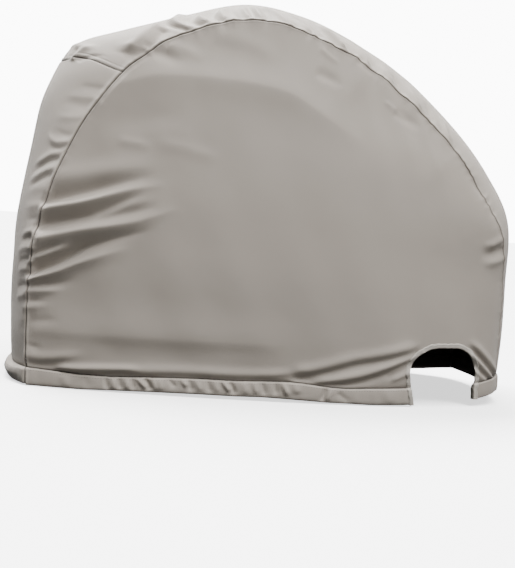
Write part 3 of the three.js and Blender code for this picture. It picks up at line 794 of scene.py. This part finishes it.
def strip_sheet(t0, t1, lifts, rows, columns, seed):
    """A panel of the strip, with its turned hem at the end that hangs free, and its painted shade."""
    at_rear = t0 == 0
    across = 2 * spread(columns, STRIP_EDGE, True, True) - 1
    if at_rear:
        across = -across
        field_t = REAR_BAND + (t1 - REAR_BAND) * spread(rows, REAR_ROWS, True, True)
        band_t = REAR_BAND * BAND_UP
    else:
        field_t = FRONT_BAND + (t0 - FRONT_BAND) * spread(rows, TOP_ROWS, True, True)
        band_t = 1 - (1 - FRONT_BAND) * BAND_UP
    t = np.concatenate([band_t, field_t])
    near_cross = bell((t - CROSS_SEAM) * LAST_ROW, 0.55)[:, None]
    bent = t[:, None] + cross_bend(across)[None, :] * near_cross
    points = strip_point(bent, across[None, :])
    field_normals = normals_of(strip_point(bent[BAND_ROWS:], across[None, :]))
    band_normals = np.broadcast_to(field_normals[:1], (BAND_ROWS,) + field_normals.shape[1:])
    normals = towards_seam(points, np.concatenate([band_normals, field_normals]))

    y = points[..., 1]
    along = 100 * LAST_ROW * bent
    base_z = points[..., 2].copy()
    above_hem = base_z - base_z[BAND_ROWS][None, :]
    near_hem = ((t < HEM_REACH) if at_rear else (t > 1 - HEM_REACH))[:, None]
    height = fold_height(STRIP_FOLDS, y, along) + uneven(y, along, seed, *STRIP_SAG)
    height += uneven(y, along, seed + 1, *FINE_SAG)
    height *= np.where(near_hem, smooth(np.clip(above_hem / 7, 0, 1)), 1)
    height = follow_seam(height, points, lifts, BESIDE_STRIP)
    height[BAND_ROWS:] -= np.where(near_hem, HEM_SEAM_DEPTH * bell(above_hem, 3.0), 0)[BAND_ROWS:]
    in_hem = y[:BAND_ROWS]
    gathers = uneven(in_hem, 0 * in_hem, seed + 2, *STRIP_GATHERS)
    height[:BAND_ROWS] = hem_relief(points[:BAND_ROWS, :, 0], gathers, 1.0 if at_rear else 0.55)

    relief, gap = seam_relief(points, BESIDE_STRIP)
    _, cross_gap = from_line(CROSS_TREE, points, 40)
    lap = 0.0 if at_rear else 1.0
    holes = sum(bell(cross_gap - away, 0.9) for away in LAP_ROWS)
    groove = -CROSS_SEAM_DEPTH * bell(cross_gap, 1.3) - lap * 0.6 * holes
    groove += lap * 0.9 * smooth(1 - cross_gap / 11)
    height += relief + groove
    points = points + normals * height[..., None]
    # Painted shade: dark lines along the seams, the cross seam, its two stitch rows and the hem's stitch
    # line, stored to darken the cloth's colour.
    shadow = np.maximum(bell(gap, SEAM_SHADOW), 0.8 * bell(cross_gap, SEAM_SHADOW))
    shadow = np.maximum(shadow, 0.35 * lap * holes)
    hem_shadow = np.where(near_hem, bell(above_hem, HEM_SHADOW), 0)
    shadow[BAND_ROWS:] = np.maximum(shadow, hem_shadow)[BAND_ROWS:]
    return points, np.stack([y, along], -1), shadow


CUT_OUT = {
    "rear": 246.0,
    "front": 363.0,
    "top": 97.0,
    "rear_round": (56.0, 44.0),
    "front_round": (40.0, 44.0),
}
CUT_LEAN = 5.0
CUT_MARGIN = 3.5


def cut_out_line(margin, steps=12, feet=(-20.0, -20.0)):
    """The opening's edge in side view from its rear foot over the top to its front foot."""
    line = [(CUT_OUT["rear"] + CUT_LEAN - margin, feet[0])]
    rx, rz = CUT_OUT["rear_round"]
    cx, cz = CUT_OUT["rear"] - CUT_LEAN + rx, CUT_OUT["top"] - rz
    for k in range(steps + 1):
        a = math.pi - math.pi / 2 * k / steps
        line.append((cx + (rx + margin) * math.cos(a), cz + (rz + margin) * math.sin(a)))
    rx, rz = CUT_OUT["front_round"]
    cx, cz = CUT_OUT["front"] - rx, CUT_OUT["top"] - rz
    for k in range(steps + 1):
        a = math.pi / 2 - math.pi / 2 * k / steps
        line.append((cx + (rx + margin) * math.cos(a), cz + (rz + margin) * math.sin(a)))
    line.append((CUT_OUT["front"] + margin, feet[1]))
    return line


def inside(line, x, z):
    hit = False
    for (ax, az), (bx, bz) in zip(line, line[1:] + line[:1]):
        if (az > z) != (bz > z) and x < (bx - ax) * (z - az) / (bz - az) + ax:
            hit = not hit
    return hit


def cut_opening(bm, margin):
    line = cut_out_line(margin)
    middles = [(face, face.calc_center_median()) for face in bm.faces]
    gone = [face for face, at in middles if at.y < -150 and at.x > 200 and inside(line, at.x, at.z)]
    bmesh.ops.delete(bm, geom=gone, context="FACES")


HEM_FINE = hem_line(np.linspace(0, 1, 401))


def hem_height(x):
    """How high the foot of the starboard hem hangs at x."""
    return float(np.interp(x, HEM_FINE[:, 0], HEM_FINE[:, 2])) + 0.5


def facing_at(x):
    """Which way the foot of the starboard panel faces at x."""
    k = int(np.argmin(np.abs(HEM_FINE[:-1, 0] - x)))
    step = HEM_FINE[min(k + 1, 400)] - HEM_FINE[max(k - 1, 0)]
    return Vector((step[1], -step[0], 0)).normalized()


# The binding in section, from its edge on the face, round the raw edge, to its edge inside:
# distance from the opening's edge, and distance out of the panel.
BINDING_SECTION = [
    (8.0, 0.15),
    (7.7, 0.9),
    (6.0, 1.25),
    (4.0, 1.15),
    (2.0, 1.3),
    (0.6, 1.1),
    (0.0, 0.0),
    (0.4, -1.6),
    (2.0, -2.6),
    (5.0, -2.7),
    (7.6, -2.7),
    (7.9, -1.9),
]


def binding_mesh(panel_tree):
    """The tape round the opening, on the face of the finished panel."""
    feet = (hem_height(CUT_OUT["rear"]), hem_height(CUT_OUT["front"]))
    line = np.array(cut_out_line(0.0, 12, feet))
    run = np.concatenate([[0], np.cumsum(np.hypot(*np.diff(line, axis=0).T))])
    places = np.linspace(0, run[-1], 240)
    centre = np.stack([np.interp(places, run, line[:, k]) for k in range(2)], -1)
    step = np.gradient(centre, axis=0)
    step /= np.linalg.norm(step, axis=1, keepdims=True)
    kernel = np.ones(7) / 7
    for k in range(2):
        padded = np.concatenate([np.full(3, step[0, k]), step[:, k], np.full(3, step[-1, k])])
        step[:, k] = np.convolve(padded, kernel, "valid")
    away = np.stack([-step[:, 1], step[:, 0]], -1)
    ripple = uneven(places, 0 * places, BINDING_SEED, *BINDING_CRINKLE)
    points = np.zeros((len(BINDING_SECTION), len(places), 3))
    for i in range(len(places)):
        for j, (far, out) in enumerate(BINDING_SECTION):
            wide = far + (ripple[i] if far > 5 else 0.4 * ripple[i])
            x = centre[i, 0] + away[i, 0] * wide
            z = centre[i, 1] + away[i, 1] * wide
            foot = hem_height(x)
            level = max(z, foot + 9)
            hit, _, _, _ = panel_tree.ray_cast(Vector((x, -600.0, level)), Vector((0, 1, 0)))
            normal = facing_at(x)
            low = 1 - smooth((z - foot - 23) / 6)
            depth = out - (6.0 * low if out < 0 else 0.0)
            points[j, i] = hit + normal * (depth + 0.25 * ripple[i])
            points[j, i, 2] = z
    around = np.array([far for far, _ in BINDING_SECTION])[:, None]
    plan = [np.broadcast_to(part, points.shape[:2]) for part in (places, around)]
    return points, np.stack(plan, -1)


def ball_at(bm, place, along, out, length, width, height):
    """One stitch: a flat drop of thread lying along the row."""
    along = along.normalized()
    side = out.cross(along).normalized()
    out = along.cross(side).normalized()
    turn = Matrix((along * length / 2, side * width / 2, out * height / 2)).transposed().to_4x4()
    bmesh.ops.create_icosphere(bm, subdivisions=1, radius=1.0, matrix=Matrix.Translation(place) @ turn)


def stitch_row(bm, places, outs, pitch, length, width, height, lift=0.1):
    """Stitches along a row of places in plan millimetres, each with its outward direction."""
    run = np.concatenate([[0], np.cumsum(np.linalg.norm(np.diff(places, axis=0), axis=1))])
    count = int(run[-1] / pitch)
    for k in range(count):
        at = (k + 0.5) * pitch
        here = Vector([np.interp(at, run, places[:, a]) for a in range(3)])
        ahead = Vector([np.interp(min(at + 1.0, run[-1]), run, places[:, a]) for a in range(3)])
        out = Vector([np.interp(at, run, outs[:, a]) for a in range(3)]).normalized()
        if (ahead - here).length < 1e-4:
            continue
        ball_at(bm, here + out * lift, ahead - here, out, length, width, height)


def on_sheet(tree, places, outs, reach=30.0):
    """The places dropped on to the finished cloth, against its outward direction."""
    found = []
    facing = []
    for p, n in zip(places, outs):
        out = Vector(n).normalized()
        hit, normal, _, _ = tree.ray_cast(Vector(p) + out * reach, -out)
        if hit is not None:
            found.append(hit)
            facing.append(normal if normal.dot(out) > 0 else -normal)
    return np.array(found), np.array(facing)


def set_inputs(tree, node, inputs):
    """Joins a node's inputs to outputs of other nodes, or sets them to values."""
    for place, value in inputs.items():
        if isinstance(value, bpy.types.NodeSocket):
            tree.links.new(value, node.inputs[place])
        else:
            node.inputs[place].default_value = value


def add_node(tree, kind, inputs, **settings):
    node = tree.nodes.new(kind)
    for name, value in settings.items():
        setattr(node, name, value)
    set_inputs(tree, node, inputs)
    return node


def maths(tree, operation, *values):
    return add_node(tree, "ShaderNodeMath", dict(enumerate(values)), operation=operation).outputs[0]


def times(tree, vector, share):
    return add_node(tree, "ShaderNodeVectorMath", {0: vector, "Scale": share}, operation="SCALE").outputs[0]


def noise(tree, place, scale, detail):
    inputs = {"Vector": place, "Scale": scale, "Detail": detail}
    return add_node(tree, "ShaderNodeTexNoise", inputs).outputs["Fac"]


def ranged(tree, value, start, end, low=0.0, high=1.0):
    """The value, taken from between start and end to between low and high."""
    inputs = {"Value": value, "From Min": start, "From Max": end, "To Min": low, "To Max": high}
    return add_node(tree, "ShaderNodeMapRange", inputs).outputs["Result"]


def polyester_group():
    """A plain-woven polyester: threads seen up close, slubs, soft mottling and painted shade in the seams.
    """
    group = bpy.data.node_groups.new("woven_polyester", "ShaderNodeTree")
    for way, kind, names in (
        ("INPUT", "NodeSocketVector", ["Place"]),
        ("INPUT", "NodeSocketColor", ["Thread Colour", "Faded Colour"]),
        ("INPUT", "NodeSocketFloat", ["Threads Per Metre", "Mottling", "Roughness", "Seam Shadow"]),
        ("OUTPUT", "NodeSocketColor", ["Colour"]),
        ("OUTPUT", "NodeSocketFloat", ["Roughness", "Height"]),
    ):
        for name in names:
            group.interface.new_socket(name=name, in_out=way, socket_type=kind)
    given = add_node(group, "NodeGroupInput", {}).outputs
    threads = times(group, given["Place"], given["Threads Per Metre"])
    split = add_node(group, "ShaderNodeSeparateXYZ", {0: threads}).outputs
    warp, weft = (maths(group, "SINE", maths(group, "MULTIPLY", split[way], math.tau)) for way in ("X", "Y"))
    weave = maths(group, "MULTIPLY", warp, weft)
    slub = noise(group, threads, 0.18, 3)
    mottle = noise(group, given["Place"], 5.5, 5)

    faded = maths(group, "MULTIPLY", ranged(group, mottle, 0.3, 0.7), given["Mottling"])
    tint = add_node(group, "ShaderNodeMix", {
        "Factor": faded, "A": given["Thread Colour"], "B": given["Faded Colour"]}, data_type="RGBA")
    between_threads = ranged(group, weave, -1.0, 1.0, 0.97, 1.02)
    # Painted shade: the colour darkens by up to 82 per cent where the Seam Shadow input reaches 1.
    painted_seam_shade = maths(group, "MULTIPLY_ADD", given["Seam Shadow"], -0.82, 1.0)
    add_node(group, "NodeGroupOutput", {
        "Colour": times(group, times(group, tint.outputs["Result"], between_threads), painted_seam_shade),
        "Roughness": maths(group, "MULTIPLY_ADD", mottle, 0.08, given["Roughness"]),
        "Height": maths(group, "MULTIPLY_ADD", weave, 0.5, slub),
    })
    return group


def plain_material(name):
    """A new material, with its node tree and its shader."""
    material = bpy.data.materials.new(name)
    material.use_nodes = True
    return material, material.node_tree, material.node_tree.nodes["Principled BSDF"]


def cloth_material(name, weave, thread, faded, threads, mottling, roughness, bump):
    material, tree, shader = plain_material(name)
    woven = add_node(tree, "ShaderNodeGroup", {}, node_tree=weave)
    set_inputs(tree, woven, {
        "Place": add_node(tree, "ShaderNodeUVMap", {}, uv_map="plan").outputs["UV"],
        # The groove attribute carries painted shade for the seams, the hem's stitch line and the stitch
        # rows.
        "Seam Shadow": add_node(tree, "ShaderNodeAttribute", {}, attribute_name="groove").outputs["Fac"],
        "Thread Colour": (*thread, 1),
        "Faded Colour": (*faded, 1),
        "Threads Per Metre": threads,
        "Mottling": mottling,
        "Roughness": roughness,
    })
    relief = add_node(tree, "ShaderNodeBump", {
        "Height": woven.outputs["Height"], "Strength": bump, "Distance": 0.0004})
    set_inputs(tree, shader, {
        "Base Color": woven.outputs["Colour"],
        "Roughness": woven.outputs["Roughness"],
        "Normal": relief.outputs["Normal"],
        "Sheen Weight": 0.12,
        "Sheen Roughness": 0.5,
        "Specular IOR Level": 0.3,
    })
    return material


def thread_material(name, colour):
    material, tree, shader = plain_material(name)
    place = add_node(tree, "ShaderNodeTexCoord", {}).outputs["Object"]
    twist = ranged(tree, noise(tree, place, 900, 2), 0.0, 1.0, 0.75, 1.15)
    set_inputs(tree, shader, {"Base Color": times(tree, colour, twist), "Roughness": 0.55})
    return material


def in_frame(x, y, z):
    return (Vector((x, y, z)) + Vector(PLAN_SHIFT)) / 1000


# The photograph's camera, found from the seam, the hem and the cut-out.
AIM = in_frame(0, 0, 174)
AZIMUTH = math.radians(-5)
ELEVATION = math.radians(3)
DISTANCE = 2.5
ROLL = math.radians(3.6)
FOCAL_PX = 1352
PHOTO_HEIGHT = 568
SENSOR = 36.0


def place_camera():
    level = math.cos(ELEVATION)
    back = Vector((math.sin(AZIMUTH) * level, -math.cos(AZIMUTH) * level, math.sin(ELEVATION)))
    right = (-back).cross(Vector((0, 0, 1))).normalized()
    up = right.cross(-back)
    rolled_right = math.cos(ROLL) * right + math.sin(ROLL) * up
    rolled_up = -math.sin(ROLL) * right + math.cos(ROLL) * up
    data = bpy.data.cameras.new("camera")
    data.lens = FOCAL_PX / PHOTO_HEIGHT * SENSOR
    data.sensor_width = SENSOR
    data.clip_end = 30
    camera = bpy.data.objects.new("camera", data)
    axes = Matrix((rolled_right, rolled_up, back)).transposed().to_4x4()
    camera.matrix_world = Matrix.Translation(AIM + back * DISTANCE) @ axes
    bpy.context.collection.objects.link(camera)
    bpy.context.scene.camera = camera


LAMP_DISTANCE = 5
FLOOR_SIZE = 40.0

# The studio's lamps, far off: name, direction they shine from, how wide they look, strength.
LAMPS = [
    ("high_over", (0.12, -0.1, 0.99), 26, 3.8),
    ("front_high", (0.27, -0.48, 0.83), 28, 4.3),
    ("low_right", (0.55, -0.83, 0.1), 40, 0.75),
    ("back_left", (-0.33, 0.4, 0.85), 30, 7.6),
    ("back", (0.0, 0.62, 0.78), 30, 5.6),
]


def lamp_from(name, towards, angle, power):
    data = bpy.data.lights.new(name, "SUN")
    data.angle = math.radians(angle)
    data.energy = power
    lamp = bpy.data.objects.new(name, data)
    turn = towards.to_track_quat("Z", "Y").to_matrix().to_4x4()
    lamp.matrix_world = Matrix.Translation(towards * LAMP_DISTANCE) @ turn
    bpy.context.collection.objects.link(lamp)


def by_camera(tree, seen, lit, output):
    """Shows one shader to the camera and gives the light of another."""
    path = add_node(tree, "ShaderNodeLightPath", {})
    mixed = add_node(tree, "ShaderNodeMixShader", {
        "Fac": path.outputs["Is Camera Ray"], 1: lit.outputs[0], 2: seen.outputs[0]})
    tree.links.new(mixed.outputs[0], tree.nodes[output].inputs["Surface"])


def floor_paint():
    """A pale matt floor that throws little light back up, as in the photograph."""
    material, tree, pale = plain_material("floor_paint")
    set_inputs(tree, pale, {
        "Base Color": (0.92, 0.92, 0.92, 1),
        "Roughness": 0.9,
        "Specular IOR Level": 0.1,
        "Emission Color": (1, 1, 1, 1),
        "Emission Strength": 1.4,
    })
    dim = add_node(tree, "ShaderNodeBsdfDiffuse", {"Color": (0.05, 0.05, 0.05, 1)})
    by_camera(tree, pale, dim, "Material Output")
    return material


def studio_world():
    """A white studio: bright behind the cover, and dim as a light."""
    world = bpy.data.worlds.new("studio")
    world.use_nodes = True
    tree = world.node_tree
    dim = tree.nodes["Background"]
    set_inputs(tree, dim, {"Color": (0.93, 0.96, 1.0, 1), "Strength": 0.1})
    white = add_node(tree, "ShaderNodeBackground", {"Color": (1, 1, 1, 1), "Strength": 11.0})
    by_camera(tree, white, dim, "World Output")
    return world


TAUPE = (0.288, 0.256, 0.22)
FADED_TAUPE = (0.306, 0.273, 0.236)
LIGHT_TAPE = (0.37, 0.34, 0.3)
FADED_TAPE = (0.4, 0.37, 0.325)
DARK_THREAD = (0.15, 0.135, 0.118)
LIGHT_THREAD = (0.3, 0.28, 0.25)

weave = polyester_group()
cover_cloth = cloth_material("cover_polyester", weave, TAUPE, FADED_TAUPE, 1250, 1.0, 0.62, 0.25)
tape_cloth = cloth_material("binding_tape_weave", weave, LIGHT_TAPE, FADED_TAPE, 900, 1.0, 0.7, 0.5)
seam_thread = thread_material("seam_thread", DARK_THREAD)
tape_thread = thread_material("tape_thread", LIGHT_THREAD)

columns = 290
rows = 225

lifts = (seam_lift(STARBOARD_FOLDS, STARBOARD_SEED), seam_lift(PORT_FOLDS, PORT_SEED))

# Starboard panel, cut open for the hoses
points, plan, shadow = side_panel(STARBOARD_FOLDS, HEM_CREASES, lifts[0], columns, rows, STARBOARD_SEED)
starboard_bm = grid_mesh(points, plan, shadow)
starboard_tree = BVHTree.FromBMesh(starboard_bm)
cut_opening(starboard_bm, CUT_MARGIN)
starboard = finished("side_panel_starboard_cloth", starboard_bm, cover_cloth)

# Port panel, its mirror in plan with its own folds
points, plan, shadow = side_panel(PORT_FOLDS, [], lifts[1], columns * 2 // 3, rows * 2 // 3, PORT_SEED)
mirror = np.array([1.0, -1.0, 1.0])
port_bm = grid_mesh(points[:, ::-1] * mirror, plan[:, ::-1] + np.array([PLAN_GAP, 0.0]), shadow[:, ::-1])
port_tree = BVHTree.FromBMesh(port_bm)
port = finished("side_panel_port_cloth", port_bm, cover_cloth)

# Strip, in its rear and its top panel
points, plan, shadow = strip_sheet(0.0, CROSS_SEAM, lifts, rows * 4 // 5, columns // 2, REAR_SEED)
rear_bm = grid_mesh(points, plan + np.array([2 * PLAN_GAP, 0.0]), shadow)
rear_tree = BVHTree.FromBMesh(rear_bm)
rear = finished("rear_panel_cloth", rear_bm, cover_cloth)

points, plan, shadow = strip_sheet(CROSS_SEAM, 1.0, lifts, int(rows * 1.7), columns // 2, TOP_SEED)
top_bm = grid_mesh(points, plan + np.array([3 * PLAN_GAP, 0.0]), shadow)
top_tree = BVHTree.FromBMesh(top_bm)
top = finished("top_panel_cloth", top_bm, cover_cloth)

# Binding of the cut-out, folded over its raw edge
binding_points, plan = binding_mesh(starboard_tree)
binding_bm = grid_mesh(binding_points, plan, np.zeros(binding_points.shape[:2]))
binding = finished("notch_binding_tape", binding_bm, tape_cloth)

# Two stitch rows hold the lap of the cross seam
stitch_bm = bmesh.new()
across = np.linspace(-0.985, 0.985, 260)
cross_t = CROSS_SEAM + cross_bend(across)
for away in LAP_ROWS:
    places = strip_point(cross_t + away / SEAM_RUN[-1], across)
    facing = normals_of(np.stack([strip_point(cross_t + step, across) for step in (0.0, 0.004)]))[0]
    stitch_row(stitch_bm, *on_sheet(top_tree, places, facing), STITCH_PITCH, *CROSS_STITCH)
cross_stitches = finished("cross_seam_stitches", stitch_bm, seam_thread)

# One row holds the turned hem, just under its upper edge
hem_bm = bmesh.new()
u = np.linspace(0.004, 0.996, 400)
places = band_point(u, np.array(HEM_STITCHES_UP))
facing = normals_of(np.stack([side_point(u, np.full(len(u), v)) for v in (0.0, 0.02)]))[0]
places[:, 2] += np.interp(places[:, 0], HEM_WAVES[:, 0], HEM_WAVES[:, 1])
behind_cut = places[:, 0] < CUT_OUT["rear"] - 6
before_cut = places[:, 0] > CUT_OUT["front"] + 8
for part in (behind_cut, before_cut):
    stitch_row(hem_bm, *on_sheet(starboard_tree, places[part], facing[part]), STITCH_PITCH, *HEM_STITCH)
stitch_row(hem_bm, *on_sheet(port_tree, places * mirror, facing * mirror), STITCH_PITCH, *HEM_STITCH)
rear_t = REAR_BAND * HEM_STITCHES_UP
front_t = 1 - (1 - FRONT_BAND) * HEM_STITCHES_UP
for tree, t, step in ((rear_tree, rear_t, 0.002), (top_tree, front_t, -0.002)):
    places = strip_point(np.full(len(across), t), across)
    facing = normals_of(np.stack([strip_point(np.full(len(across), t + d), across) for d in (0.0, step)]))[0]
    facing *= np.sign(facing[:, :1]) * np.sign(places[:, :1])
    stitch_row(hem_bm, *on_sheet(tree, places, facing), STITCH_PITCH, *HEM_STITCH)
hem_stitches = finished("hem_stitches", hem_bm, seam_thread)

# One row holds the binding
tape_bm = bmesh.new()
row = binding_points[2]
stitch_row(tape_bm, row, np.array([facing_at(x) for x in row[:, 0]]), BINDING_PITCH, *BINDING_STITCH)
binding_stitches = finished("binding_stitches", tape_bm, tape_thread)

panels = [
    (starboard, "side_panel_starboard", "cover_cloth"),
    (port, "side_panel_port", "cover_cloth"),
    (rear, "rear_panel", "cover_cloth"),
    (top, "top_panel", "cover_cloth"),
    (binding, "notch_binding", "binding_tape"),
]
for piece, node, finish in panels:
    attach(piece, "root")
    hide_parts(node)
stitches = [
    (cross_stitches, "cover_cloth"),
    (hem_stitches, "cover_cloth"),
    (binding_stitches, "binding_tape"),
]
for piece, finish in stitches:
    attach(piece, "root")

floor_bm = bmesh.new()
bmesh.ops.create_grid(floor_bm, x_segments=1, y_segments=1, size=FLOOR_SIZE)
floor_mesh = bpy.data.meshes.new("floor")
floor_bm.to_mesh(floor_mesh)
floor_bm.free()
floor = bpy.data.objects.new("floor", floor_mesh)
bpy.context.collection.objects.link(floor)
floor.data.materials.append(floor_paint())
bpy.context.scene.world = studio_world()
place_camera()
for name, towards, angle, power in LAMPS:
    lamp_from(name, Vector(towards), angle, power)

bpy.context.view_layer.update()
